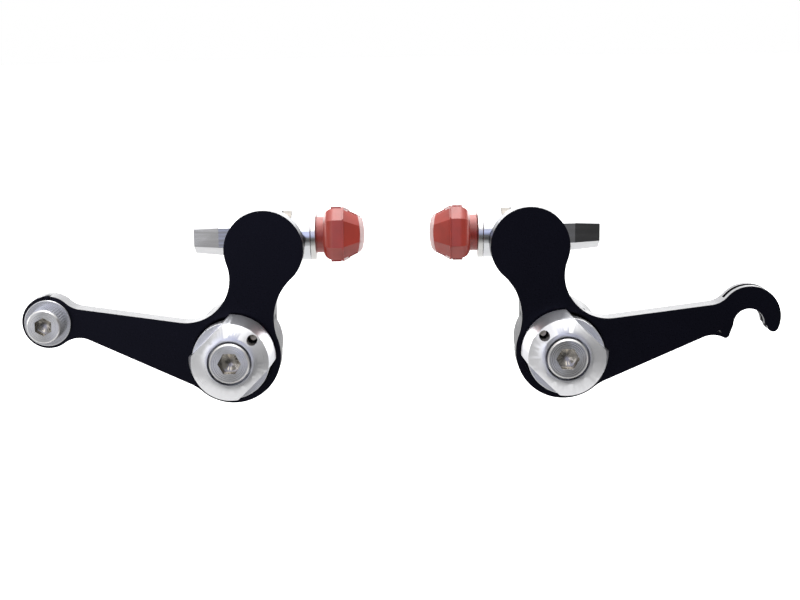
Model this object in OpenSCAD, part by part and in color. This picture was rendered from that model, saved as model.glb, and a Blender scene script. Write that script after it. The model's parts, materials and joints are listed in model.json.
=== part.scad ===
// Cantilever brake, the pair of arms that sits either side of a bicycle wheel.
// The left arm ends in a cable anchor bolt, the right arm in a slotted hook.
// +X is to the right, +Z is up, -Y faces the viewer and the frame studs lie at y = 0.
// The origin is midway between the two pivots, in the plane where the sleeves end.

/* [Overall] */
// distance between the two pivot axes
pivot_spacing = 82.6; // [76:0.2:96]
// depth of an arm from its front face to its back
arm_depth = 19.5; // [18.5:0.1:22]
// play of the arms and caps on the parts they turn on, measured on the radius
running_gap = 0.05; // [0.02:0.01:0.1]

/* [Arm] */
// diameter of the round boss at the pivot
boss_d = 24; // [23.4:0.2:26]
// thickness of the flat front plate
plate_t = 6; // [5:0.1:6.6]
// height of the pad head above the pivot
head_rise = 26.45; // [25:0.1:32]
// distance the pad head leans towards the wheel
head_lean = 8.3; // [7:0.1:10]
// diameter of the round pad head
head_d = 19.7; // [18.6:0.1:21]
// width of the block behind the head that carries the pad stud
block_w = 8.3; // [8:0.1:9]
// radius of the hollow on the wheel side of the neck
neck_fillet = 14; // [13:0.5:20]
// radius of the hollow between the lever and the neck
lever_fillet = 11; // [8:0.5:12]

/* [Lever] */
// sideways reach from the pivot to the cable anchor
lever_reach = 45.6; // [42:0.2:56]
// height of the cable anchor above the pivot
lever_rise = 9.2; // [6:0.2:12]
// diameter of the rounded anchor end
anchor_end_d = 13.1; // [12.6:0.1:15]
// radius of the small hollows where the lever meets its end
end_fillet = 6; // [4:0.5:7]

/* [Hook] */
// diameter of the outside of the hook
hook_d = 15.4; // [15:0.1:18]
// diameter of the seat for the end of the straddle cable
seat_d = 7.8; // [7:0.1:8.2]
// width of the slot that lets the cable out
cable_slot_w = 2; // [1.6:0.1:2.6]

/* [Pivot] */
// diameter of the frame stud that the sleeve slides on
stud_bore_d = 8; // [7.6:0.1:8.2]
// outside diameter of the pivot sleeve
sleeve_d = 11; // [10.6:0.1:11.4]
// length of the bore that is left open for the frame stud
stud_length = 12.5; // [11:0.1:13]
// diameter of the pivot bolt
pivot_bolt_d = 6; // [5:0.1:6.2]
// diameter of the head of the pivot bolt
pivot_head_d = 10; // [9:0.1:10.4]
// depth of the head of the pivot bolt
pivot_head_h = 6; // [5:0.1:6.2]

/* [Spring cap] */
// distance from the rim of the spring cap in to the rim of the boss
cap_inset = 1.2; // [0.8:0.1:1.7]
// width across the two spanner flats of the cap
cap_flats = 15.8; // [15:0.1:17]
// diameter of the flat ring round the bolt head
cap_ring_d = 12.8; // [12.2:0.1:14]
// height of the cap in front of the arm
cap_h = 9; // [8.6:0.1:11]

/* [Return spring] */
// diameter of the spring wire
wire_d = 1.6; // [1.2:0.1:1.7]
// room between the coils and the wall of their pocket
coil_gap = 0.9; // [0.6:0.05:1]
// number of full turns in the spring
spring_turns = 3; // [2:1:3]

/* [Brake pad] */
// length of the pad along the rim
pad_length = 52; // [40:1:60]
// height of the pad
pad_height = 12.4; // [11.6:0.1:14]
// depth of the pad from its back to its braking face
pad_depth = 8.9; // [8.8:0.1:11]
// angle the pad is rolled on its stud, front end up
pad_roll = 7.5; // [0:0.5:10]
// diameter of the threaded pad stud
pad_stud_d = 6; // [5:0.1:6]
// length of the tapered nut
pad_nut_h = 10.3; // [9:0.1:12]
// width across the flats of the tapered nut
pad_nut_flats = 9.5; // [9.3:0.1:10]

/* [Cable anchor] */
// diameter of the anchor bolt
anchor_bolt_d = 5; // [4:0.1:5]
// diameter of the anchor bolt head
anchor_head_d = 8.5; // [8:0.1:9]
// depth of the anchor bolt head
anchor_head_h = 5; // [4:0.1:6]
// diameter of the washer that clamps the cable
anchor_washer_d = 11.5; // [11:0.1:12]

/* [Hidden] */
$fn = 96;
// tiny overlap that keeps joined shapes one solid
bite = 0.01;
arm_back = 0.5;
front = -arm_back - arm_depth;
plate_back = front + plate_t;
boss_r = boss_d / 2;
head_r = head_d / 2;
barrel_r = boss_r - 0.8;
cap_r = boss_r - cap_inset;
head_at = [head_lean, head_rise];
pivot_x = pivot_spacing / 2;

// heights of the two straight lever edges, at the pivot and at the end
lever_root_top = 6.7;
lever_root_bottom = 12.1;
lever_end_top = 4.3;

// spring pocket in the front of the arm, open towards the cap
pocket_r = barrel_r - 1.5;
mouth_r = pocket_r + 0.5;
mouth_depth = 1.5;
pocket_floor = -stud_length;
sleeve_front = front - 0.25;
cap_back = front - 0.3;
cap_face = front - 0.3 - cap_h;
cap_flange_t = 1.1;
cap_flange_gap = 0.8;
cap_rim_t = 1.2;
cap_cone_h = 1.3;
cap_flank_lean = 1.25;
recess_gap = 0.5;
head_seat = cap_face + pivot_head_h - 0.4;
bolt_gap = 0.15;
shank_end = -stud_length - 1.2;

// the spring wire runs between the pocket floor and the cap
wire_r = wire_d / 2;
coil_r = pocket_r - coil_gap - wire_r;
coil_start = pocket_floor - wire_r - 0.3;
coil_end = cap_back + wire_r + 0.3;
cap_hole_angle = 45;

// pad hardware, measured along the stud from the middle of the head block
stud_depth = -6.8;
stud_height = head_rise + 2.05;
block_r = 6.3;
stud_hole_r = pad_stud_d / 2 + 1.15;
inner_ball_r = 9;
outer_ball_r = 8;
dome_r = 6.2;
ball_gap = 0.05;
inner_cup_r = 6.4;
inner_cup_from = 6.6;
inner_cup_to = 11.2;
outer_cup_r = 5.4;
outer_cup_to = 7.9;
washer_r = 6.4;
washer_t = 1.4;
fit_gap = 0.05;
neck_from = inner_cup_to + washer_t + fit_gap;
neck_r = 4.6;
pad_back_at = neck_from + 2.7;
pad_face_at = pad_back_at + pad_depth;
pad_split_at = pad_back_at + pad_depth * 0.54;
pad_split_step = 0.25;
pad_slope_in = 2;
pad_end_slope_in = 1.5;
pad_crown_r = 16;
pad_corner = 2.5;
pad_end_chamfer = 2.9;
stud_end_in_pad = pad_back_at + 2.5;
nut_from = outer_cup_to + fit_gap;
nut_straight = 4;
nut_end_scale = 0.87;

hook_at = [-lever_reach - 0.7, lever_rise - 1.2];
hook_r = hook_d / 2;
seat_r = seat_d / 2;
seat_at = hook_at + [0.2, -1.85];
tip_r = 1.4;
heel_r = 1;
anchor_at = [-lever_reach, lever_rise];
anchor_end_r = anchor_end_d / 2;
anchor_washer_t = 1.2;
cable_groove_r = 1.2;

// ways of placing things

// puts a shape drawn round a pivot in its place, the right side is the mirror image
module left_side() {
  translate([-pivot_x, 0, 0]) children();
}

module right_side() {
  translate([pivot_x, 0, 0]) mirror([1, 0, 0]) children();
}

// stands a flat outline up and gives it depth between two distances
module upright(from, to) {
  translate([0, to, 0]) rotate([90, 0, 0]) linear_extrude(to - from) children();
}

// a round bar along the pivot axis
module bar(r, from, to) {
  translate([0, to, 0]) rotate([90, 0, 0]) cylinder(r = r, h = to - from);
}

// a round bar along the stud, with a straight or tapered side
module stud_bar(r1, r2, from, to) {
  translate([from, 0, 0]) rotate([0, 90, 0]) cylinder(r1 = r1, r2 = r2, h = to - from);
}

// moves to the middle of the head block, on the stud axis
module at_stud() {
  translate([head_lean, stud_depth, stud_height]) children();
}

module rolled() {
  rotate([-pad_roll, 0, 0]) children();
}

// tangent circles for the arm outline, each reaches a hair into its neighbour
kiss = 0.01;

// centre of a circle that touches two circles from outside
function between_circles(a, ra, b, rb, r) =
  let (
    d = norm(b - a),
    u = (b - a) / d,
    n = [u[1], -u[0]],
    da = ra + r - kiss,
    db = rb + r - kiss,
    s = (da * da - db * db + d * d) / (2 * d),
    h = sqrt(da * da - s * s)
  ) a + u * s + n * h;

// unit direction and outward side of a straight edge
function along(p, q) = (q - p) / norm(q - p);
function outward(t, side) = [-t[1], t[0]] * side;

// foot of a point on a straight edge
function foot_on(c, p, n) = c - n * ((c - p) * n);

// centre of a circle that touches a circle and a straight edge from outside
function beside_edge(p, t, n, b, rb, r, way) =
  let (
    lift = r - kiss,
    h = lift - (b - p) * n,
    d = rb + r - kiss,
    s = sqrt(d * d - h * h)
  ) p + t * ((b - p) * t + way * s) + n * lift;

// hollow corner between a circle and a straight edge
module edge_corner(p, t, n, b, rb, r, way) {
  c = beside_edge(p, t, n, b, rb, r, way);
  difference() {
    polygon([b, c, foot_on(c, p, n), foot_on(c, p, n) - n * 3]);
    translate(c) circle(r = r);
  }
}

// the straight edges of a lever whose end is centred on e
function top_from(e) = e + [0, lever_end_top];
root_top = [0, lever_root_top];
root_low = [0, -lever_root_bottom];

// arm outline seen from the front, with the end left off
module arm_outline(e, end_r) {
  tt = along(top_from(e), root_top);
  tn = outward(tt, 1);
  lt = along(e, root_low);
  ln = outward(lt, -1);
  crook = beside_edge(root_top, tt, tn, head_at, head_r, lever_fillet, -1);
  hollow = between_circles([0, 0], boss_r, head_at, head_r, neck_fillet);
  difference() {
    union() {
      circle(r = boss_r);
      translate(head_at) circle(r = head_r);
      // neck, hollowed on the wheel side
      difference() {
        polygon([[0, 0], hollow, head_at]);
        translate(hollow) circle(r = neck_fillet);
      }
      // web that the crook is cut from
      polygon([[0, 0], head_at, crook, foot_on(crook, root_top, tn) - tn * 3]);
      // lever
      polygon([
        foot_on(e, root_top, tn),
        foot_on(head_at, root_top, tn),
        foot_on([0, 0], root_low, ln),
        e
      ]);
    }
    // crook that sweeps from the head to the lever and just bites the boss
    translate(crook) circle(r = lever_fillet);
  }
  edge_corner(root_top, tt, tn, e, end_r, end_fillet, 1);
  edge_corner(root_low, lt, ln, [0, 0], boss_r, lever_fillet, -1);
}

module anchor_outline() {
  lt = along(anchor_at, root_low);
  ln = outward(lt, -1);
  arm_outline(anchor_at, anchor_end_r);
  translate(anchor_at) circle(r = anchor_end_r);
  edge_corner(root_low, lt, ln, anchor_at, anchor_end_r, end_fillet, 1);
}

// rounded tip and heel of the hook, the tip lies just inside the outer circle
tip_way = [-cos(23), -sin(23)];
tip_at = hook_at + (hook_r - tip_r + kiss) * tip_way;
heel_at = seat_at + [seat_r + 1.9, -2.45];

module hook_outline() {
  lt = along(hook_at, root_low);
  ln = outward(lt, -1);
  difference() {
    union() {
      arm_outline(hook_at, hook_r);
      translate(hook_at) circle(r = hook_r);
    }
    translate(seat_at) circle(r = seat_r);
    // mouth that opens downwards below the seat
    polygon([
      seat_at + [seat_r, 0],
      heel_at + [-heel_r, 0],
      heel_at,
      heel_at + [heel_r + 2, -heel_r - 4],
      tip_at + [-tip_r - 4, -8],
      tip_at + tip_way * (tip_r + 4),
      tip_at,
      tip_at + [tip_r, 0],
      seat_at + [-seat_r, 0]
    ]);
  }
  translate(tip_at) circle(r = tip_r);
  // heel below the lever
  translate(heel_at) circle(r = heel_r);
  edge_corner(root_low, lt, ln, heel_at, heel_r, end_fillet, 1);
  polygon([
    heel_at + [-heel_r, 0],
    heel_at + [0, -heel_r / 4],
    heel_at + [4, 3],
    seat_at + [seat_r + 2, 2],
    seat_at + [seat_r, 0]
  ]);
}

// solid arm, the lever and neck outline is handed in
module arm_body() {
  difference() {
    union() {
      upright(front, plate_back) children();
      bar(barrel_r, plate_back - bite, -arm_back);
      // block behind the head that carries the stud
      at_stud() stud_bar(block_r, block_r, -block_w / 2, block_w / 2);
      translate([head_lean - block_w / 2, plate_back - bite, stud_height - block_r])
        cube([block_w, stud_depth - plate_back, block_r * 2]);
      // rib that ties the block to the barrel
      translate([head_lean - block_w / 2, plate_back - bite, 0])
        cube([block_w - 2, 5, stud_height]);
    }
    // bearing bore and spring pocket with its wider mouth
    bar(sleeve_d / 2 + running_gap, front - 1, 1);
    bar(pocket_r, front - 1, pocket_floor);
    bar(mouth_r, front - 1, front + mouth_depth);
    // hole for the back end of the spring
    spring_back_hole();
    // oversize hole that lets the stud tilt
    at_stud() stud_bar(stud_hole_r, stud_hole_r, -block_w, block_w);
  }
}

module anchor_arm() {
  difference() {
    arm_body() anchor_outline();
    translate([anchor_at[0], 0, anchor_at[1]])
      bar(anchor_bolt_d / 2 + fit_gap, front - 1, plate_back + 1);
    // shallow groove that guides the cable under the washer
    translate([anchor_at[0] - 0.3, front - 0.4, anchor_at[1] + 3])
      cylinder(r = cable_groove_r, h = anchor_end_d);
  }
}

module hook_arm() {
  difference() {
    arm_body() hook_outline();
    // slot that lets the cable leave the seat
    upright(cable_slot_from, cable_slot_from + cable_slot_w)
      polygon([
        seat_at + [0, -hook_d],
        seat_at,
        seat_at + [seat_r + 2.2, 0],
        seat_at + [seat_r + 2.2, hook_d],
        seat_at + [-hook_d, hook_d],
        seat_at + [-hook_d, -hook_d]
      ]);
  }
}
cable_slot_from = front + (plate_t - cable_slot_w) / 2;

// pivot sleeve, a tube with a relief in front that clears the bolt
module sleeve() {
  difference() {
    bar(sleeve_d / 2, sleeve_front, 0);
    bar(stud_bore_d / 2, pocket_floor, 1);
    bar(stud_bore_d / 2 + 0.2, sleeve_front - 1, pocket_floor + bite);
  }
}

// adjuster cap over the spring, turned by two spanner flats
module cap() {
  flange_r = mouth_r - cap_flange_gap;
  rim_from = cap_back - cap_flange_t;
  flank_from = rim_from - cap_rim_t;
  shoulder_at = cap_face + cap_cone_h;
  difference() {
    union() {
      bar(flange_r, rim_from - bite, cap_back);
      intersection() {
        // rim, leaning flank and shallow cone in one turned profile
        rotate([90, 0, 0]) rotate_extrude() polygon([
          [0, -rim_from], [cap_r, -rim_from], [cap_r, -flank_from],
          [cap_r - cap_flank_lean, -shoulder_at],
          [cap_ring_d / 2, -cap_face], [0, -cap_face]
        ]);
        // spanner flats, turned to face up and out
        rotate([0, 45, 0]) translate([-cap_flats / 2, cap_face - 1, -cap_r * 2])
          cube([cap_flats, cap_h + 2, cap_r * 4]);
      }
    }
    bar(pivot_head_d / 2 + recess_gap, cap_face - 1, head_seat);
    bar(pivot_bolt_d / 2 + bolt_gap, cap_face, 0);
    rotate([0, -cap_hole_angle, 0]) translate([coil_r, 0, 0])
      bar(wire_r + 0.5, cap_face - 1, cap_back + 1);
  }
}

// socket head bolt along the pivot axis, head side at the front
module socket_bolt(shank_r, head_d, head_h, key, seat, end) {
  difference() {
    union() {
      bar(shank_r, seat - bite, end);
      bar(head_d / 2, seat - head_h + 0.4, seat);
      translate([0, seat - head_h + 0.4, 0]) rotate([90, 0, 0])
        cylinder(r1 = head_d / 2, r2 = head_d / 2 - 0.4, h = 0.4);
    }
    translate([0, seat - head_h / 2, 0]) rotate([90, 0, 0])
      linear_extrude(head_h) circle(r = key / sqrt(3), $fn = 6);
    // drill point at the bottom of the socket
    translate([0, seat - head_h / 2 - bite, 0]) rotate([-90, 0, 0])
      cylinder(r1 = key / 2, r2 = 0, h = key / 4);
  }
}

module pivot_bolt() {
  socket_bolt(pivot_bolt_d / 2, pivot_head_d, pivot_head_h, 5, head_seat, shank_end);
}

// torsion spring of one wire, bent forward at both ends
wire_sides = 10;
steps_per_turn = 30;
bend_steps = 5;
bend_r = 2;
spring_steps = steps_per_turn * spring_turns;
// angle round the pivot that one end bend takes up
bend_angle = bend_r / coil_r * 180 / PI;
coil_from_angle = cap_hole_angle - bend_angle - 360 * spring_turns;

// places along the wire as [angle round the pivot, depth]
function wire_path() = concat(
  [[coil_from_angle - bend_angle, pocket_floor + 2.5]],
  [for (i = [0 : bend_steps]) let (t = 90 * i / bend_steps)
    [coil_from_angle - bend_angle * cos(t), coil_start + bend_r * (1 - sin(t))]],
  [for (i = [1 : spring_steps])
    [coil_from_angle + 360 * i / steps_per_turn,
      coil_start + (coil_end - coil_start) * i / spring_steps]],
  [for (i = [1 : bend_steps]) let (t = 90 * i / bend_steps)
    [cap_hole_angle - bend_angle * (1 - sin(t)), coil_end - bend_r * (1 - cos(t))]],
  [[cap_hole_angle, cap_back - 4.2]]
);
function wire_place(p) = [coil_r * cos(p[0]), p[1], coil_r * sin(p[0])];
function wire_ring(path, i) =
  let (
    last = len(path) - 1,
    ahead = wire_place(path[min(i + 1, last)]) - wire_place(path[max(i - 1, 0)]),
    outwards = [cos(path[i][0]), 0, sin(path[i][0])],
    across = cross(ahead, outwards) / norm(cross(ahead, outwards)),
    c = wire_place(path[i])
  )
  [for (k = [0 : wire_sides - 1])
    c + wire_r * (cos(360 * k / wire_sides) * outwards + sin(360 * k / wire_sides) * across)];

module spring() {
  path = wire_path();
  last = len(path) - 1;
  points = [for (i = [0 : last]) each wire_ring(path, i)];
  sides = [for (i = [0 : last - 1]) for (k = [0 : wire_sides - 1])
    let (n = (k + 1) % wire_sides, a = i * wire_sides, b = a + wire_sides)
    each [[a + k, b + k, b + n], [a + k, b + n, a + n]]];
  first_end = [for (k = [0 : wire_sides - 1]) k];
  last_end = [for (k = [wire_sides - 1 : -1 : 0]) last * wire_sides + k];
  polyhedron(points = points, faces = concat([first_end], sides, [last_end]));
}

// hole in the pocket floor that takes the back end of the spring
module spring_back_hole() {
  rotate([0, bend_angle - coil_from_angle, 0]) translate([coil_r, 0, 0])
    bar(wire_r + 0.15, pocket_floor - 1, pocket_floor + 3);
}

// turns a flat profile, given as [radius, distance], round the stud axis
module turned() {
  rotate([0, 90, 0]) rotate_extrude() children();
}

// domed washer that lies flat on the head block
module dome(ball_r) {
  turned() intersection() {
    circle(r = ball_r);
    translate([stud_hole_r, block_w / 2]) square([dome_r - stud_hole_r, ball_r]);
  }
}

// cupped washer that rides on the dome
module cup(ball_r, r, from, to) {
  hole_r = pad_stud_d / 2 + fit_gap;
  turned() difference() {
    translate([hole_r, from]) square([r - hole_r, to - from]);
    circle(r = ball_r + ball_gap);
  }
}

module inner_dome() {
  at_stud() dome(inner_ball_r);
}

module outer_dome() {
  at_stud() mirror([1, 0, 0]) dome(outer_ball_r);
}

module inner_cup() {
  at_stud() cup(inner_ball_r, inner_cup_r, inner_cup_from, inner_cup_to);
}

module outer_cup() {
  at_stud() mirror([1, 0, 0]) cup(outer_ball_r, outer_cup_r, 5.9, outer_cup_to);
}

// thin flat washer between the cup and the pad
module washer() {
  at_stud() difference() {
    stud_bar(washer_r, washer_r, inner_cup_to, inner_cup_to + washer_t);
    stud_bar(pad_stud_d / 2 + fit_gap, pad_stud_d / 2 + fit_gap, 0, neck_from);
  }
}

// slab with one pair of opposite sides of the pad, turned about the stud axis:
// round at the back, full as far as the split, then sloping in to the face
module pad_slab(turn, half, slope_in) {
  inset = pad_back_at + pad_corner;
  start = half - pad_split_step;
  rotate([turn + 90, 0, 0]) linear_extrude(pad_length + 2, center = true) {
    for (side = [-1, 1])
      translate([inset, side * (half - pad_corner)]) circle(r = pad_corner);
    translate([pad_back_at, pad_corner - half])
      square([pad_corner * 2, (half - pad_corner) * 2]);
    translate([inset, -half]) square([pad_split_at - inset, half * 2]);
    polygon([
      [pad_split_at - bite, -start], [pad_face_at, slope_in - start],
      [pad_face_at, start - slope_in], [pad_split_at - bite, start]
    ]);
  }
}

// four slabs leave eight sides that meet in clean mitres
module pad_block() {
  half_l = pad_length / 2;
  half_h = pad_height / 2;
  half_d = (half_l + half_h - pad_end_chamfer) / sqrt(2);
  intersection() {
    pad_slab(0, half_h, pad_slope_in);
    pad_slab(90, half_l, pad_end_slope_in);
    pad_slab(45, half_d, pad_slope_in);
    pad_slab(-45, half_d, pad_slope_in);
    // slightly crowned braking face
    translate([pad_face_at - pad_crown_r, 0, 0]) rotate([90, 0, 0])
      cylinder(r = pad_crown_r, h = pad_length + 2, center = true);
  }
}

// pad seen from the wheel, with bevelled ends
module pad_outline(extra) {
  half_l = pad_length / 2 + extra;
  half_h = pad_height / 2 + extra;
  c = pad_end_chamfer;
  polygon([
    [-half_l, c - half_h], [c - half_l, -half_h],
    [half_l - c, -half_h], [half_l, c - half_h],
    [half_l, half_h - c], [half_l - c, half_h],
    [c - half_l, half_h], [-half_l, half_h - c]
  ]);
}

module pad() {
  slope_angle = atan(pad_slope_in / (pad_face_at - pad_split_at));
  at_stud() rolled() difference() {
    union() {
      pad_block();
      // thin line left where the mould closed
      translate([pad_split_at - 0.15, 0, 0]) rotate([90, 0, 90])
        linear_extrude(0.3) pad_outline(0.3);
      // raised bars along the top and the bottom, lower ones on the slopes
      for (side = [-1, 1]) {
        translate([pad_split_at - 1.9, 0, side * pad_height / 2])
          cube([2.4, pad_length - 14, 0.9], center = true);
        translate([pad_split_at, 0, side * (pad_height / 2 - pad_split_step)])
          rotate([0, side * slope_angle, 0]) translate([2.3, 0, 0])
            cube([2.6, pad_length - 18, 0.6], center = true);
      }
      // round neck against the washer
      stud_bar(neck_r, neck_r, neck_from, pad_back_at + bite);
    }
    stud_bar(pad_stud_d / 2, pad_stud_d / 2, neck_from - 1, stud_end_in_pad);
  }
}

module pad_stud() {
  at_stud() stud_bar(pad_stud_d / 2, pad_stud_d / 2, 2 - nut_from - pad_nut_h, stud_end_in_pad);
}

// tapered nut, flats up and down
module pad_nut() {
  corner_r = pad_nut_flats / sqrt(3);
  at_stud() difference() {
    translate([-nut_from, 0, 0]) rotate([0, -90, 0]) rotate([0, 0, 30]) union() {
      linear_extrude(nut_straight) circle(r = corner_r, $fn = 6);
      translate([0, 0, nut_straight - bite])
        linear_extrude(pad_nut_h - nut_straight + bite, scale = nut_end_scale)
          circle(r = corner_r, $fn = 6);
    }
    stud_bar(pad_stud_d / 2, pad_stud_d / 2, -nut_from - pad_nut_h - 1, 0);
  }
}

module anchor_washer() {
  translate([anchor_at[0], 0, anchor_at[1]]) difference() {
    bar(anchor_washer_d / 2, front - anchor_washer_t, front);
    bar(anchor_bolt_d / 2 + fit_gap, front - anchor_washer_t - 1, front + 1);
  }
}

module anchor_bolt() {
  translate([anchor_at[0], 0, anchor_at[1]]) rotate([0, 30, 0])
    socket_bolt(anchor_bolt_d / 2, anchor_head_d, anchor_head_h, 4,
      front - anchor_washer_t, plate_back + 1.2);
}

color("#202028") left_side() anchor_arm();  // left_arm
color("#202028") right_side() hook_arm();  // right_arm
color("#b08d57") left_side() sleeve();  // left_sleeve
color("#b08d57") right_side() sleeve();  // right_sleeve
color("#8a8478") left_side() spring();  // left_spring
color("#8a8478") right_side() spring();  // right_spring
color("#c9ccd2") left_side() cap();  // left_cap
color("#c9ccd2") right_side() cap();  // right_cap
color("#b4b6ba") left_side() pivot_bolt();  // left_pivot_bolt
color("#b4b6ba") right_side() pivot_bolt();  // right_pivot_bolt
color("#6c6862") left_side() inner_dome();  // left_inner_dome
color("#6c6862") right_side() inner_dome();  // right_inner_dome
color("#c4c6ca") left_side() outer_dome();  // left_outer_dome
color("#c4c6ca") right_side() outer_dome();  // right_outer_dome
color("#d6d8dc") left_side() inner_cup();  // left_inner_cup
color("#d6d8dc") right_side() inner_cup();  // right_inner_cup
color("#c4c6ca") left_side() outer_cup();  // left_outer_cup
color("#c4c6ca") right_side() outer_cup();  // right_outer_cup
color("#a8aab0") left_side() washer();  // left_washer
color("#a8aab0") right_side() washer();  // right_washer
color("#a8493c") left_side() pad();  // left_pad
color("#a8493c") right_side() pad();  // right_pad
color("#9a9ca0") left_side() pad_stud();  // left_pad_stud
color("#9a9ca0") right_side() pad_stud();  // right_pad_stud
color("#c0c2c6") left_side() pad_nut();  // left_pad_nut
color("#c0c2c6") right_side() pad_nut();  // right_pad_nut
color("#b4b6ba") left_side() anchor_bolt();
color("#c4c6ca") left_side() anchor_washer();
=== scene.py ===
import json
import math

import bmesh
import bpy
from mathutils import Matrix, Vector


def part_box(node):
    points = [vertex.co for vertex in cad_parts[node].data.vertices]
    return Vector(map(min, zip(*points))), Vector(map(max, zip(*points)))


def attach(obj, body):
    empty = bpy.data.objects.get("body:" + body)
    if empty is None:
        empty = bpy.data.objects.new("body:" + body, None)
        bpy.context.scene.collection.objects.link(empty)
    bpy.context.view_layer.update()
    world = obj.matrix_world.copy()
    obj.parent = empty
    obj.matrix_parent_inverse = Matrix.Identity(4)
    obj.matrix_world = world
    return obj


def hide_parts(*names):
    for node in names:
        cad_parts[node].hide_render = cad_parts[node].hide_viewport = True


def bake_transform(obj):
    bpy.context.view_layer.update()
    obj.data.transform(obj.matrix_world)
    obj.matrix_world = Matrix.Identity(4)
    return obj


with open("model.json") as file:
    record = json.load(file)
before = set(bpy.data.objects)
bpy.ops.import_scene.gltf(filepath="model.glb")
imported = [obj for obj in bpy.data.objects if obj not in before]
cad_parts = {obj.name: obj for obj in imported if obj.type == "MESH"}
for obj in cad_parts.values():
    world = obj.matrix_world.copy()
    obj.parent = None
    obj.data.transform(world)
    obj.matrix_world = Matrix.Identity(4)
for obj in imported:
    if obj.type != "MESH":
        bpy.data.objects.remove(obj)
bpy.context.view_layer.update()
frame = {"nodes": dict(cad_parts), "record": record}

bl_info = {
    "name": "Cantilever Brake",
    "version": (1, 0, 0),
    "blender": (4, 5, 0),
    "location": "View3D > Sidebar > Brake",
    "description": "Finishes the parts of a pair of bicycle cantilever brake arms",
    "category": "Object",
}

MM = 0.001
SIDES = ("left", "right")

# Axis of the left and right pivot, from the middle of each pivot sleeve.
PIVOT = {
    side: sum((Vector(c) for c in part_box(f"{side}_sleeve")), Vector()) / 2 for side in SIDES
}

# Joining loose triangles, and telling flat faces and clean cuts
JOIN_DISTANCE = 0.001 * MM
CUT_DISTANCE = 0.0001 * MM
FLAT_ANGLE = math.radians(0.4)

# middle part of a noise, which holds most of its values
NOISE_LOW, NOISE_HIGH = 0.3, 0.7

# The camera stands in front of the brake and looks 10 degrees down at it.
CAMERA_TARGET = Vector((0.57 * MM, -20 * MM, 13.55 * MM))
CAMERA_DISTANCE = 390 * MM
CAMERA_DROP = math.radians(10)
CAMERA_ROLL = math.radians(0.85)
CAMERA_LENS = 70.73
CAMERA_SENSOR = 36.0
CAMERA_CLIP = 10 * MM

# The floor lies well below the brake and ends just in front of it, below the
# picture. Towards the camera the room stays dim.
FLOOR_LEVEL = -100 * MM
FLOOR_RADIUS = 4.0
FLOOR_BACK = 3.92
FLOOR_GLOW = 1.0
FLOOR_TONE = (0.56, 0.58)
FLOOR_GRAIN = 20 * MM
FLOOR_SEGMENTS = 96

# soft boxes: name, place in m, width and length in m, power in W; all aim at the brake
LAMPS = (
    ("overhead_softbox", (0.0, 0.10, 0.60), (0.20, 0.60), 0.9),
    ("back_softbox", (0.0, 0.90, 0.22), (1.60, 0.30), 3.0),
)
LAMP_AIM = Vector((0, 0, 12 * MM))

# The room that the metal mirrors is drawn by direction, as x, y and z of the
# unit vector that points there. Each pair of numbers is where an edge starts
# and where it ends.
ROOM_SIDES = (-0.8, 0.8)
ROOM_SIDE_SHARES = (1.2, 0.75)
LAMP_RISE = (0.45, 0.9)
BACKDROP_DEPTH = (-0.1, 0.35)
BACKDROP_TOP = (0.45, 0.2)
STRIP_SIDES = (0.23, 0.14)
STRIP_RISE = (0.3, 0.5)
TABLE_DROP = (-0.35, -0.62)
# strength of the room all round, and of what its walls, lamps and table add
ROOM_FRONT = 0.42
ROOM_BACK = 2.4
ROOM_STRIP = 2.0
ROOM_LAMP = 1.2
ROOM_BELOW = 0.5
# dark patches: turn to the right, rise, inner and outer radius in degrees, what is left
ROOM_SHADES = (
    (12, -12, 8, 26, 0.4),
    (-2, -30, 6, 20, 0.5),
    (23, -8, 6, 13, 0.35),
)
# lit patches: turn, rise, inner and outer radius, strength, colour
ROOM_GLOWS = (
    (-7, 9, 4, 20, 0.8, "#bcc8ff"),
    (-26, 3, 6, 13, 1.2, "#ffffff"),
)

# reach of the hexagon sockets from the axis of their bolts, inside which the walls get a painted
# shade
PIVOT_SOCKET = 3.1 * MM
ANCHOR_SOCKET = 2.5 * MM

# the steep outer side of a cap: least distance from the axis, most forward share
# of its normal
FLANK_FROM = 8.5 * MM
FLANK_LEAN = 0.45

# round ledges of the cap beyond its spanner flats: radius, distance of their
# hidden inner edge from the axis, and the room before and behind them
LEDGE_RADIUS = 9.6 * MM
LEDGE_FROM = 7.5 * MM
LEDGE_DROP = 3.5 * MM
LEDGE_BACK = 1.2 * MM
LEDGE_STEPS = 32

# ridges on the head of the anchor bolt, which leave its front edge plain
KNURL_COUNT = 42
KNURL_DEPTH = 0.14 * MM
KNURL_MARGIN = 0.8 * MM
# share of its sector that half a ridge fills, and how deep its foot is sunk
KNURL_HALF = 0.42
KNURL_FOOT = 0.21 * MM
# corners of the head this close to its side count as its side
HEAD_SIDE = 0.05 * MM

# the photographed nut is slimmer than the solid, outside its bore, and stands
# on a corner
NUT_SHARE = 0.905
NUT_BORE = 3.4 * MM
NUT_TURN = math.radians(30)

# the straight spring end parts from the coil just behind the cap
SPRING_GAP = 0.1 * MM


def linear(hex_colour):
    """Turns an sRGB hex colour into linear red, green and blue."""
    values = [int(hex_colour[i : i + 2], 16) / 255 for i in (1, 3, 5)]
    return [v / 12.92 if v <= 0.04045 else ((v + 0.055) / 1.055) ** 2.4 for v in values]


# Sizes and colours that a user would change


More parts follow.
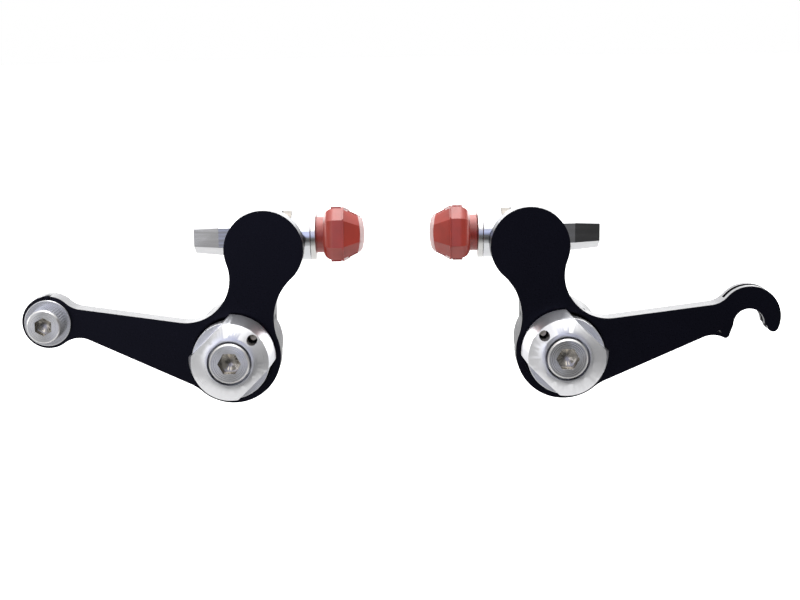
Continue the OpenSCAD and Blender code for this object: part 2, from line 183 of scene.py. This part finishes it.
class BrakeSizes(bpy.types.PropertyGroup):
    """Edge breaks and fine relief of the brake parts"""

    arm_edge: bpy.props.FloatProperty(
        name="Arm edge",
        description="Width of the small bevel that breaks the machined edges of the arms",
        default=0.3 * MM,
        min=0.05 * MM,
        max=0.8 * MM,
        unit="LENGTH",
    )
    cap_edge: bpy.props.FloatProperty(
        name="Cap edge",
        description="Width of the bevel on the rim and the ring of the spring caps",
        default=0.4 * MM,
        min=0.05 * MM,
        max=0.6 * MM,
        unit="LENGTH",
    )
    steel_edge: bpy.props.FloatProperty(
        name="Steel edge",
        description="Width of the bevel on bolts, nuts and washers",
        default=0.2 * MM,
        min=0.05 * MM,
        max=0.4 * MM,
        unit="LENGTH",
    )
    socket_edge: bpy.props.FloatProperty(
        name="Socket edge",
        description="Width of the bevel round the heads and the hexagon sockets of the bolts",
        default=0.3 * MM,
        min=0.05 * MM,
        max=0.4 * MM,
        unit="LENGTH",
    )
    nut_edge: bpy.props.FloatProperty(
        name="Nut edge",
        description="Width of the rounding that polishing leaves on the corners of the nuts",
        default=0.9 * MM,
        min=0.1 * MM,
        max=1.2 * MM,
        unit="LENGTH",
    )
    rubber_edge: bpy.props.FloatProperty(
        name="Rubber edge",
        description="Radius of the moulded edges of the brake pads",
        default=0.45 * MM,
        min=0.1 * MM,
        max=1.0 * MM,
        unit="LENGTH",
    )


class BrakeColours(bpy.types.PropertyGroup):
    """Colours of the brake parts"""

    anodising: bpy.props.FloatVectorProperty(
        name="Anodising",
        description="Colour of the dyed oxide layer on the arms",
        subtype="COLOR",
        default=linear("#06060c"),
        min=0,
        max=1,
    )
    cap_metal: bpy.props.FloatVectorProperty(
        name="Cap metal",
        description="Colour of the satin turned aluminium of the spring caps",
        subtype="COLOR",
        default=linear("#ececee"),
        min=0,
        max=1,
    )
    stainless: bpy.props.FloatVectorProperty(
        name="Stainless",
        description="Colour of the stainless steel bolts and washers",
        subtype="COLOR",
        default=linear("#dddcda"),
        min=0,
        max=1,
    )
    polished: bpy.props.FloatVectorProperty(
        name="Polished steel",
        description="Colour of the polished nuts and cupped washers",
        subtype="COLOR",
        default=linear("#d8d8da"),
        min=0,
        max=1,
    )
    rubber: bpy.props.FloatVectorProperty(
        name="Rubber",
        description="Colour of the salmon red pad compound",
        subtype="COLOR",
        default=linear("#a02a18"),
        min=0,
        max=1,
    )


# Small tools


def add(tree, kind, sockets=None, **settings):
    """Adds a node, with its settings, and links or values for its sockets."""
    node = tree.nodes.new(kind)
    for key, value in settings.items():
        setattr(node, key, value)
    for key, value in (sockets or {}).items():
        if isinstance(value, bpy.types.NodeSocket):
            tree.links.new(value, node.inputs[key])
        else:
            node.inputs[key].default_value = value
    return node


def colour(rgb):
    """Red, green and blue with full alpha, as the colour sockets want it."""
    return (rgb[0], rgb[1], rgb[2], 1)


def ramp(tree, value, start, end, low, high):
    """A smooth change from low to high while the value runs from start to end."""
    return add(
        tree, "ShaderNodeMapRange",
        {"Value": value, "From Min": start, "From Max": end, "To Min": low, "To Max": high},
        interpolation_type="SMOOTHSTEP",
    ).outputs["Result"]


def product(tree, a, b):
    """The product of two numbers."""
    return add(tree, "ShaderNodeMath", {0: a, 1: b}, operation="MULTIPLY").outputs[0]


def spread(tree, texture, low, high):
    """Spreads the middle part of a noise evenly from low to high."""
    return add(
        tree, "ShaderNodeMapRange",
        {"Value": texture, "From Min": NOISE_LOW, "From Max": NOISE_HIGH,
         "To Min": low, "To Max": high},
    ).outputs["Result"]


def toned(tree, rgb, share):
    """A colour made darker or lighter by a share."""
    return add(
        tree, "ShaderNodeMix", {"Factor": 1.0, "A": colour(rgb), "B": share},
        data_type="RGBA", blend_type="MULTIPLY",
    ).outputs["Result"]


def noise(tree, place, size, detail=2):
    """Soft noise with blobs of about the given size."""
    return add(
        tree, "ShaderNodeTexNoise", {"Vector": place, "Scale": 1 / size, "Detail": detail}
    ).outputs["Fac"]


def bump(tree, height, strength, distance):
    """A normal tilted by the slope of a height."""
    return add(
        tree, "ShaderNodeBump",
        {"Height": height, "Strength": strength, "Distance": distance},
    ).outputs["Normal"]


def new_material(name):
    """A material with only a Principled shader and its output."""
    material = bpy.data.materials.new(name)
    material.use_nodes = True
    tree = material.node_tree
    tree.nodes.clear()
    shader = add(tree, "ShaderNodeBsdfPrincipled")
    add(tree, "ShaderNodeOutputMaterial", {"Surface": shader.outputs["BSDF"]})
    return material, tree, shader


def wire(tree, shader, **links):
    """Links outputs to the shader's inputs, named with _ for a space."""
    for name, output in links.items():
        tree.links.new(output, shader.inputs[name.replace("_", " ")])


def anodised_aluminium():
    # Milled aluminium, glass bead blasted, dyed black and sealed: an even dark
    # face with a soft sheen, and light grey edges where it grazes the light.
    material, tree, shader = new_material("anodised_aluminium_black")
    place = add(tree, "ShaderNodeTexCoord").outputs["Object"]
    dye = bpy.context.scene.brake_colours.anodising
    # beads leave dimples of about 0.1 mm, drawn at 0.35 mm so that they show
    grain = noise(tree, place, 0.35 * MM, 3)
    cloud = noise(tree, place, 14 * MM)
    wire(
        tree, shader,
        Base_Color=toned(tree, dye, spread(tree, cloud, 0.8, 1.2)),
        Roughness=spread(tree, grain, 0.26, 0.34),
        Normal=bump(tree, grain, 0.12, 0.01 * MM),
    )
    shader.inputs["Metallic"].default_value = 0.0
    shader.inputs["Specular IOR Level"].default_value = 0.2
    shader.inputs["Specular Tint"].default_value = (0.7, 0.7, 1.0, 1.0)
    return material


def turned_metal(name, rgb, centre, roughness, pitch, grooves=0.5, stretch=0.6):
    # Metal turned on a lathe with a fine tool: rings round the axis that draw
    # the highlights out into soft rays, as on any faced or bored surface.
    material, tree, shader = new_material(name)
    place = add(tree, "ShaderNodeTexCoord").outputs["Object"]
    offset = add(
        tree, "ShaderNodeVectorMath", {0: place, 1: (centre.x, 0, centre.z)}, operation="SUBTRACT"
    )
    flat = add(
        tree, "ShaderNodeVectorMath", {0: offset.outputs[0], 1: (1, 0, 1)}, operation="MULTIPLY"
    )
    radius = add(tree, "ShaderNodeVectorMath", {0: flat.outputs[0]}, operation="LENGTH")
    depth = add(tree, "ShaderNodeSeparateXYZ", {0: offset.outputs[0]}).outputs["Y"]
    along = add(
        tree, "ShaderNodeMath", {0: radius.outputs["Value"], 1: depth}, operation="SUBTRACT"
    )
    ring = add(
        tree, "ShaderNodeTexNoise",
        {"W": product(tree, along.outputs[0], 1 / pitch), "Scale": 1.0, "Detail": 2},
        noise_dimensions="1D",
    ).outputs["Fac"]
    smudge = noise(tree, place, 5 * MM, 3)
    marks = add(
        tree, "ShaderNodeMix", {"Factor": 0.4, "A": ring, "B": smudge}, data_type="FLOAT"
    ).outputs["Result"]
    round_axis = add(
        tree, "ShaderNodeVectorMath", {0: flat.outputs[0], 1: (0, 1, 0)}, operation="CROSS_PRODUCT"
    )
    way = add(tree, "ShaderNodeVectorMath", {0: round_axis.outputs[0]}, operation="NORMALIZE")
    wire(
        tree, shader,
        Base_Color=toned(tree, rgb, spread(tree, marks, 0.92, 1.0)),
        Roughness=spread(tree, marks, roughness * 0.75, roughness * 1.25),
        Normal=bump(tree, ring, grooves, 0.02 * MM),
        Tangent=way.outputs[0],
    )
    shader.inputs["Metallic"].default_value = 1.0
    shader.inputs["Anisotropic"].default_value = stretch
    return material


def plain_metal(name, rgb, roughness, mark_size, mark_depth, draw=(1, 1, 1)):
    # Steel as it comes from polishing, tumbling or drawing: even, with faint
    # marks that break up the reflections a little. A small share in draw draws
    # the marks out along that axis.
    material, tree, shader = new_material(name)
    place = add(tree, "ShaderNodeTexCoord").outputs["Object"]
    place = add(
        tree, "ShaderNodeVectorMath", {0: place, 1: draw}, operation="MULTIPLY"
    ).outputs[0]
    marks = noise(tree, place, mark_size, 4)
    wire(
        tree, shader,
        Base_Color=toned(tree, rgb, spread(tree, marks, 0.88, 1.0)),
        Roughness=spread(tree, marks, roughness * 0.7, roughness * 1.3),
        Normal=bump(tree, marks, 0.3, mark_depth),
    )
    shader.inputs["Metallic"].default_value = 1.0
    return material


def moulded_rubber():
    # Brake rubber moulded in a tool with a fine spark finish: salmon red all
    # through, clouded by a faint bloom.
    material, tree, shader = new_material("moulded_brake_rubber")
    place = add(tree, "ShaderNodeTexCoord").outputs["Object"]
    rgb = bpy.context.scene.brake_colours.rubber
    bloom = noise(tree, place, 4 * MM, 4)
    # spark finish of about 0.2 mm, drawn at 0.4 mm so that it shows
    skin = noise(tree, place, 0.4 * MM, 3)
    wire(
        tree, shader,
        Base_Color=toned(tree, rgb, spread(tree, bloom, 0.86, 1.12)),
        Roughness=spread(tree, skin, 0.34, 0.46),
        Normal=bump(tree, skin, 0.5, 0.03 * MM),
    )
    # the bloom lies on the rubber as a thin waxy film that catches the light
    shader.inputs["Coat Weight"].default_value = 0.5
    shader.inputs["Coat Roughness"].default_value = 0.32
    shader.inputs["Coat IOR"].default_value = 1.6
    return material


def anodised():
    return bpy.data.materials.get("anodised_aluminium_black") or anodised_aluminium()


def rubber():
    return bpy.data.materials.get("moulded_brake_rubber") or moulded_rubber()


def shared_metal(name, rgb, **values):
    """A plain metal made once and used again by the next piece."""
    return bpy.data.materials.get(name) or plain_metal(name, rgb, **values)


def polished_steel():
    # cups and outer domes polished to a near mirror, with the faintest handling marks
    return shared_metal(
        "polished_steel", bpy.context.scene.brake_colours.polished,
        roughness=0.14, mark_size=1.2 * MM, mark_depth=0.004 * MM,
    )


def satin_aluminium():
    # the side of a cap, tumbled before its face is turned: light and quite dull
    return shared_metal(
        "satin_aluminium", bpy.context.scene.brake_colours.cap_metal,
        roughness=0.56, mark_size=0.7 * MM, mark_depth=0.01 * MM,
    )


def socket_shade_steel():
    # the walls and floor of a bolt's socket: a little darker than its turned head, a painted shade
    # in the recess
    return shared_metal(
        "socket_shade_steel", linear("#a39e97"),
        roughness=0.2, mark_size=0.6 * MM, mark_depth=0.008 * MM,
    )


def streaked_steel():
    # belt-polished along the nut, so its flats throw back long wavy streaks
    return shared_metal(
        "belt_polished_steel", bpy.context.scene.brake_colours.polished,
        roughness=0.12, mark_size=1.6 * MM, mark_depth=0.09 * MM, draw=(0.06, 1, 1),
    )


def body_of_node(node):
    bodies = frame["record"]["behaviour"]["bodies"]
    return next(name for name, nodes in bodies.items() if node in nodes)


def merged(node):
    """A bmesh of a node with its loose triangles joined and its flat faces whole."""
    bm = bmesh.new()
    bm.from_mesh(frame["nodes"][node].data)
    bmesh.ops.remove_doubles(bm, verts=bm.verts, dist=JOIN_DISTANCE)
    bmesh.ops.dissolve_limit(
        bm, angle_limit=FLAT_ANGLE, use_dissolve_boundaries=False,
        verts=bm.verts, edges=bm.edges,
    )
    return bm


def placed(bm, name, node, material, body, sharp=30):
    """A finished piece from a bmesh, smooth but for its sharp edges, which stands for a node."""
    mesh = bpy.data.meshes.new(name)
    for face in bm.faces:
        face.smooth = True
    bm.to_mesh(mesh)
    bm.free()
    mesh.set_sharp_from_angle(angle=math.radians(sharp))
    mesh.materials.append(material)
    piece = bpy.data.objects.new(name, mesh)
    bpy.context.scene.collection.objects.link(piece)
    if body:
        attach(piece, body)
    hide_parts(node)
    return piece


def broken_edges(piece, width, segments=2, angle=30):
    """Breaks the sharp edges of a piece with a small round bevel."""
    bevel = piece.modifiers.new("edge_break", "BEVEL")
    bevel.limit_method = "ANGLE"
    bevel.angle_limit = math.radians(angle)
    bevel.width = width
    bevel.segments = segments
    bevel.harden_normals = True
    bevel.use_clamp_overlap = True
    return piece


def dressed(node, material, width, segments=2, angle=30):
    """A finished copy of a node, with its edges broken."""
    piece = placed(merged(node), f"{node}_finished", node, material, body_of_node(node))
    return broken_edges(piece, width, segments, angle)


def paint_socket_shade(bolt, centre, reach):
    """Gives the hexagon socket of a bolt darker walls and floor, a painted shade in the recess."""
    mesh = bolt.data
    mesh.materials.append(socket_shade_steel())
    inside = [math.hypot(v.co.x - centre.x, v.co.z - centre.z) < reach for v in mesh.vertices]
    for face in mesh.polygons:
        if all(inside[index] for index in face.vertices):
            face.material_index = 1


# Pieces


class BRAKE_OT_arms(bpy.types.Operator):
    """Finishes the two black arms"""

    bl_idname = "brake.arms"
    bl_label = "Arms"

    def execute(self, context):
        sizes = context.scene.brake_sizes
        for side in SIDES:
            dressed(f"{side}_arm", anodised(), sizes.arm_edge)
        return {"FINISHED"}


class BRAKE_OT_caps(bpy.types.Operator):
    """Finishes the two turned spring caps"""

    bl_idname = "brake.caps"
    bl_label = "Spring caps"

    def execute(self, context):
        sizes = context.scene.brake_sizes
        colours = context.scene.brake_colours
        for side in SIDES:
            metal = turned_metal(
                f"turned_aluminium_{side}_cap", colours.cap_metal, PIVOT[side],
                roughness=0.34, pitch=0.12 * MM, grooves=0.15,
            )
            cap = dressed(f"{side}_cap", metal, sizes.cap_edge)
            self.satin_flank(cap, PIVOT[side])
            self.ledges(side, metal, sizes.steel_edge)
        return {"FINISHED"}

    def satin_flank(self, cap, centre):
        """Gives the steep outer side of a cap a duller finish than its face."""
        cap.data.materials.append(satin_aluminium())
        for face in cap.data.polygons:
            reach = math.hypot(face.center.x - centre.x, face.center.z - centre.z)
            if reach > FLANK_FROM and abs(face.normal.y) < FLANK_LEAN:
                face.material_index = 1

    def ledges(self, side, metal, width):
        """The round ledge of the cap that is left standing beyond each spanner flat."""
        node = f"{side}_cap"
        low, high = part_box(node)
        centre = PIVOT[side]
        up_and_out = math.atan2(1, math.copysign(1, centre.x))
        half = math.acos(LEDGE_FROM / LEDGE_RADIUS)
        front, back = low.y + LEDGE_DROP, high.y - LEDGE_BACK
        bm = bmesh.new()
        for middle in (up_and_out, up_and_out + math.pi):
            rows = [
                [
                    bm.verts.new((
                        centre.x + LEDGE_RADIUS * math.cos(middle + half * share), y,
                        centre.z + LEDGE_RADIUS * math.sin(middle + half * share),
                    ))
                    for share in (2 * step / LEDGE_STEPS - 1 for step in range(LEDGE_STEPS + 1))
                ]
                for y in (front, back)
            ]
            bm.faces.new(rows[0])
            bm.faces.new(rows[1][::-1])
            for step in range(LEDGE_STEPS + 1):
                after = (step + 1) % (LEDGE_STEPS + 1)
                bm.faces.new((rows[0][step], rows[1][step], rows[1][after], rows[0][after]))
        bmesh.ops.recalc_face_normals(bm, faces=bm.faces)
        piece = placed(bm, f"{node}_ledges", node, metal, body_of_node(node))
        broken_edges(piece, width)


class BRAKE_OT_pivots(bpy.types.Operator):
    """Finishes the pivot bolts and the bearing sleeves"""

    bl_idname = "brake.pivots"
    bl_label = "Pivot bolts and sleeves"

    def execute(self, context):
        sizes = context.scene.brake_sizes
        colours = context.scene.brake_colours
        for side in SIDES:
            steel = turned_metal(
                f"turned_stainless_{side}_bolt", colours.stainless, PIVOT[side],
                roughness=0.3, pitch=0.2 * MM, grooves=0.3,
            )
            bolt = dressed(f"{side}_pivot_bolt", steel, sizes.socket_edge, segments=3)
            # the walls of the socket get a painted shade
            paint_socket_shade(bolt, PIVOT[side], PIVOT_SOCKET)
            bronze = turned_metal(
                f"bearing_bronze_{side}", linear("#b08a52"), PIVOT[side],
                roughness=0.3, pitch=0.3 * MM,
            )
            dressed(f"{side}_sleeve", bronze, sizes.steel_edge)
        return {"FINISHED"}


class BRAKE_OT_springs(bpy.types.Operator):
    """Finishes the two return springs"""

    bl_idname = "brake.springs"
    bl_label = "Springs"

    def execute(self, context):
        steel = plain_metal(
            "drawn_spring_steel", linear("#a79f90"),
            roughness=0.34, mark_size=0.8 * MM, mark_depth=0.01 * MM,
        )
        for side in SIDES:
            node = f"{side}_spring"
            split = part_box(f"{side}_cap")[1].y + SPRING_GAP
            for name, body, keep_front in (
                (f"{side}_spring_tip", f"{side}_cap_body", True),
                (f"{side}_spring_coil", None, False),
            ):
                bm = merged(node)
                bmesh.ops.bisect_plane(
                    bm, geom=bm.verts[:] + bm.edges[:] + bm.faces[:], dist=CUT_DISTANCE,
                    plane_co=(0, split, 0), plane_no=(0, 1, 0),
                    clear_outer=keep_front, clear_inner=not keep_front,
                )
                bmesh.ops.holes_fill(bm, edges=[e for e in bm.edges if e.is_boundary])
                piece = placed(bm, name, node, steel, body, sharp=50)
                if not keep_front:
                    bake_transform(piece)
        return {"FINISHED"}


class BRAKE_OT_seats(bpy.types.Operator):
    """Finishes the domed and cupped washers of the pad seats"""

    bl_idname = "brake.seats"
    bl_label = "Pad seats"

    def execute(self, context):
        sizes = context.scene.brake_sizes
        colours = context.scene.brake_colours
        dull = plain_metal(
            "tumbled_dark_steel", linear("#85807a"),
            roughness=0.4, mark_size=1.5 * MM, mark_depth=0.02 * MM,
        )
        bright = plain_metal(
            "bright_steel_washer", colours.stainless,
            roughness=0.2, mark_size=1.0 * MM, mark_depth=0.006 * MM,
        )
        for side in SIDES:
            dressed(f"{side}_inner_dome", dull, sizes.steel_edge)
            dressed(f"{side}_outer_dome", polished_steel(), sizes.steel_edge)
            dressed(f"{side}_inner_cup", polished_steel(), sizes.steel_edge)
            dressed(f"{side}_outer_cup", polished_steel(), sizes.steel_edge)
            dressed(f"{side}_washer", bright, sizes.steel_edge)
        return {"FINISHED"}


class BRAKE_OT_pads(bpy.types.Operator):
    """Finishes the rubber pads, their studs and their tapered nuts"""

    bl_idname = "brake.pads"
    bl_label = "Pads, studs and nuts"

    def execute(self, context):
        sizes = context.scene.brake_sizes
        colours = context.scene.brake_colours
        zinc = plain_metal(
            "plated_stud_steel", colours.stainless,
            roughness=0.25, mark_size=0.8 * MM, mark_depth=0.01 * MM,
        )
        for side in SIDES:
            dressed(f"{side}_pad", rubber(), sizes.rubber_edge, segments=3)
            dressed(f"{side}_pad_stud", zinc, sizes.steel_edge)
            self.nut(f"{side}_pad_nut", sizes.nut_edge)
        return {"FINISHED"}

    def nut(self, node, width):
        """The nut with its corners turned up, a little slimmer and rounded over."""
        low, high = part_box(node)
        middle = (low + high) / 2
        bm = merged(node)
        turn = Matrix.Rotation(NUT_TURN, 4, "X")
        for vert in bm.verts:
            arm = vert.co - middle
            reach = math.hypot(arm.y, arm.z)
            size = NUT_SHARE if reach > NUT_BORE else 1.0
            arm = turn @ Vector((arm.x, arm.y * size, arm.z * size))
            vert.co = middle + arm
        piece = placed(
            bm, f"{node}_finished", node, streaked_steel(), body_of_node(node), sharp=20
        )
        broken_edges(piece, width, segments=5, angle=20)


class BRAKE_OT_anchor(bpy.types.Operator):
    """Finishes the cable anchor bolt and its washer"""

    bl_idname = "brake.anchor"
    bl_label = "Cable anchor"

    def execute(self, context):
        sizes = context.scene.brake_sizes
        colours = context.scene.brake_colours
        low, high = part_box("anchor_washer")
        centre = (low + high) / 2
        steel = turned_metal(
            "turned_stainless_anchor", colours.stainless, centre,
            roughness=0.3, pitch=0.2 * MM, grooves=0.3,
        )
        bright = turned_metal(
            "turned_anchor_washer", colours.polished, centre, roughness=0.18, pitch=0.2 * MM
        )
        bolt = self.bolt(centre, steel, sizes.socket_edge)
        self.knurl(centre, steel)
        # the walls of the socket get a painted shade
        paint_socket_shade(bolt, centre, ANCHOR_SOCKET)
        dressed("anchor_washer", bright, sizes.steel_edge, segments=3)
        return {"FINISHED"}

    def bolt(self, centre, material, width):
        """The anchor bolt, its head drawn in a little to carry a ring of knurl ridges."""
        node = "anchor_bolt"
        low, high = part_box(node)
        radius = (high.x - low.x) / 2
        bm = merged(node)
        for vert in bm.verts:
            reach = math.hypot(vert.co.x - centre.x, vert.co.z - centre.z)
            if reach > radius - HEAD_SIDE:
                share = 1 - KNURL_DEPTH / reach
                vert.co.x = centre.x + (vert.co.x - centre.x) * share
                vert.co.z = centre.z + (vert.co.z - centre.z) * share
        piece = placed(bm, f"{node}_finished", node, material, body_of_node(node))
        return broken_edges(piece, width, segments=3)

    def knurl(self, centre, material):
        """The ridges that run along the head of the anchor bolt."""
        node = "anchor_bolt"
        low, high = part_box(node)
        radius = (high.x - low.x) / 2
        front, start = low.y + KNURL_MARGIN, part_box("anchor_washer")[0].y
        bm = bmesh.new()
        for step in range(KNURL_COUNT):
            middle = math.tau * step / KNURL_COUNT
            half = math.tau / KNURL_COUNT * KNURL_HALF
            rows = []
            for y in (front, start):
                rows.append([
                    bm.verts.new((centre.x + r * math.cos(a), y, centre.z + r * math.sin(a)))
                    for a, r in (
                        (middle - half, radius - KNURL_FOOT),
                        (middle, radius),
                        (middle + half, radius - KNURL_FOOT),
                    )
                ])
            (a, b, c), (d, e, f) = rows
            for corners in ((a, b, c), (f, e, d), (a, d, e, b), (b, e, f, c), (c, f, d, a)):
                bm.faces.new(corners)
        bmesh.ops.recalc_face_normals(bm, faces=bm.faces)
        placed(bm, f"{node}_knurl", node, material, body_of_node(node))


class BRAKE_OT_studio(bpy.types.Operator):
    """Sets up the white floor, the soft lights and the camera"""

    bl_idname = "brake.studio"
    bl_label = "Studio"

    def execute(self, context):
        scene = context.scene
        scene.view_settings.view_transform = "Standard"
        self.sky(scene)
        self.floor(scene)
        self.lights(scene)
        self.camera(scene)
        return {"FINISHED"}

    def sky(self, scene):
        world = bpy.data.worlds.new("white_studio")
        scene.world = world
        world.use_nodes = True
        tree = world.node_tree
        tree.nodes.clear()
        way = add(tree, "ShaderNodeTexCoord").outputs["Generated"]
        parts = add(tree, "ShaderNodeSeparateXYZ", {0: way})
        x, y, z = (parts.outputs[axis] for axis in "XYZ")
        # dim all round, dimmer still to the right
        light = ramp(tree, x, *ROOM_SIDES, *(ROOM_FRONT * share for share in ROOM_SIDE_SHARES))
        # a broad soft lamp straight overhead
        lamp = ramp(tree, z, *LAMP_RISE, 0, 1)
        # a low white backdrop behind the part
        backdrop = product(
            tree, ramp(tree, y, *BACKDROP_DEPTH, 0, 1), ramp(tree, z, *BACKDROP_TOP, 0, 1)
        )
        # a narrow strip of light from above the camera over the part to the back
        aside = add(tree, "ShaderNodeMath", {0: x}, operation="ABSOLUTE").outputs[0]
        strip = product(
            tree, ramp(tree, aside, *STRIP_SIDES, 0, 1), ramp(tree, z, *STRIP_RISE, 0, 1)
        )
        # the white table throws light back from below
        below = ramp(tree, z, *TABLE_DROP, 0, 1)
        for area, strength in (
            (lamp, ROOM_LAMP), (backdrop, ROOM_BACK), (strip, ROOM_STRIP), (below, ROOM_BELOW),
        ):
            lit = product(tree, area, strength)
            light = add(tree, "ShaderNodeMath", {0: light, 1: lit}).outputs[0]
        for *place, left_over in ROOM_SHADES:
            shade = self.spot(tree, way, *place)
            light = product(tree, light, ramp(tree, shade, 0, 1, 1.0, left_over))
        tint = toned(tree, (1, 1, 1), light)
        for *place, strength, hex_colour in ROOM_GLOWS:
            rgb = [strength * v for v in linear(hex_colour)]
            glow = toned(tree, rgb, self.spot(tree, way, *place))
            tint = add(
                tree, "ShaderNodeMix", {"Factor": 1.0, "A": tint, "B": glow},
                data_type="RGBA", blend_type="ADD",
            ).outputs["Result"]
        # the camera itself sees plain white paper
        seen = add(tree, "ShaderNodeLightPath").outputs["Is Camera Ray"]
        sky = add(
            tree, "ShaderNodeMix", {"Factor": seen, "A": tint, "B": (1, 1, 1, 1)}, data_type="RGBA"
        )
        ground = add(tree, "ShaderNodeBackground", {"Color": sky.outputs["Result"]})
        add(tree, "ShaderNodeOutputWorld", {"Surface": ground.outputs[0]})

    def spot(self, tree, way, turn, rise, inner, outer):
        """1 inside a round patch of sky, 0 outside it; angles in degrees from the front."""
        turn, rise = math.radians(turn), math.radians(rise)
        centre = (
            math.sin(turn) * math.cos(rise), -math.cos(turn) * math.cos(rise), math.sin(rise)
        )
        dot = add(tree, "ShaderNodeVectorMath", {0: way, 1: centre}, operation="DOT_PRODUCT")
        edges = [math.cos(math.radians(angle)) for angle in (outer, inner)]
        return ramp(tree, dot.outputs["Value"], *edges, 0.0, 1.0)

    def floor(self, scene):
        material, tree, shader = new_material("white_studio_floor")
        place = add(tree, "ShaderNodeTexCoord").outputs["Object"]
        grain = noise(tree, place, FLOOR_GRAIN)
        tone = add(
            tree, "ShaderNodeMapRange",
            {"Value": grain, "To Min": FLOOR_TONE[0], "To Max": FLOOR_TONE[1]},
        )
        shader.inputs["Roughness"].default_value = 0.9
        shader.inputs["Specular IOR Level"].default_value = 0.1
        # the paper is overexposed to the camera, not in the reflections
        seen = add(tree, "ShaderNodeLightPath").outputs["Is Camera Ray"]
        wire(
            tree, shader,
            Base_Color=tone.outputs["Result"], Emission_Strength=product(tree, seen, FLOOR_GLOW),
        )
        shader.inputs["Emission Color"].default_value = (1, 1, 1, 1)
        bm = bmesh.new()
        bmesh.ops.create_circle(
            bm, cap_ends=True, segments=FLOOR_SEGMENTS, radius=FLOOR_RADIUS
        )
        bmesh.ops.translate(bm, verts=bm.verts, vec=(0, FLOOR_BACK, FLOOR_LEVEL))
        mesh = bpy.data.meshes.new("studio_floor")
        bm.to_mesh(mesh)
        bm.free()
        mesh.materials.append(material)
        floor = bpy.data.objects.new("studio_floor", mesh)
        scene.collection.objects.link(floor)

    def lights(self, scene):
        for name, place, size, power in LAMPS:
            data = bpy.data.lights.new(name, "AREA")
            data.shape = "RECTANGLE"
            data.size, data.size_y = size
            data.energy = power
            lamp = bpy.data.objects.new(name, data)
            lamp.location = place
            aim = LAMP_AIM - lamp.location
            lamp.rotation_euler = aim.to_track_quat("-Z", "Y").to_euler()
            scene.collection.objects.link(lamp)

    def camera(self, scene):
        forward = Vector((0, math.cos(CAMERA_DROP), -math.sin(CAMERA_DROP)))
        level = Vector((1, 0, 0))
        upright = level.cross(forward)
        right = level * math.cos(CAMERA_ROLL) - upright * math.sin(CAMERA_ROLL)
        up = upright * math.cos(CAMERA_ROLL) + level * math.sin(CAMERA_ROLL)
        turn = Matrix((right, up, -forward)).transposed().to_4x4()
        data = bpy.data.cameras.new("photo_camera")
        data.sensor_width = CAMERA_SENSOR
        data.lens = CAMERA_LENS
        data.clip_start = CAMERA_CLIP
        camera = bpy.data.objects.new("photo_camera", data)
        camera.matrix_world = Matrix.Translation(CAMERA_TARGET - forward * CAMERA_DISTANCE) @ turn
        scene.collection.objects.link(camera)
        scene.camera = camera


STEPS = (
    BRAKE_OT_arms,
    BRAKE_OT_caps,
    BRAKE_OT_pivots,
    BRAKE_OT_springs,
    BRAKE_OT_seats,
    BRAKE_OT_pads,
    BRAKE_OT_anchor,
    BRAKE_OT_studio,
)


class BRAKE_PT_panel(bpy.types.Panel):
    """Sizes, colours and steps of the cantilever brake"""

    bl_idname = "BRAKE_PT_panel"
    bl_label = "Cantilever Brake"
    bl_space_type = "VIEW_3D"
    bl_region_type = "UI"
    bl_category = "Brake"

    def draw(self, context):
        layout = self.layout
        for group in (context.scene.brake_sizes, context.scene.brake_colours):
            for name in group.__annotations__:
                layout.prop(group, name)
        for step in STEPS:
            layout.operator(step.bl_idname)


CLASSES = (BrakeSizes, BrakeColours, *STEPS, BRAKE_PT_panel)


def register():
    for cls in CLASSES:
        bpy.utils.register_class(cls)
    bpy.types.Scene.brake_sizes = bpy.props.PointerProperty(type=BrakeSizes)
    bpy.types.Scene.brake_colours = bpy.props.PointerProperty(type=BrakeColours)


def unregister():
    del bpy.types.Scene.brake_colours
    del bpy.types.Scene.brake_sizes
    for cls in reversed(CLASSES):
        bpy.utils.unregister_class(cls)


def main():
    register()
    bpy.ops.brake.arms()
    bpy.ops.brake.caps()
    bpy.ops.brake.pivots()
    bpy.ops.brake.springs()
    bpy.ops.brake.seats()
    bpy.ops.brake.pads()
    bpy.ops.brake.anchor()
    bpy.ops.brake.studio()


if __name__ == "__main__":
    main()
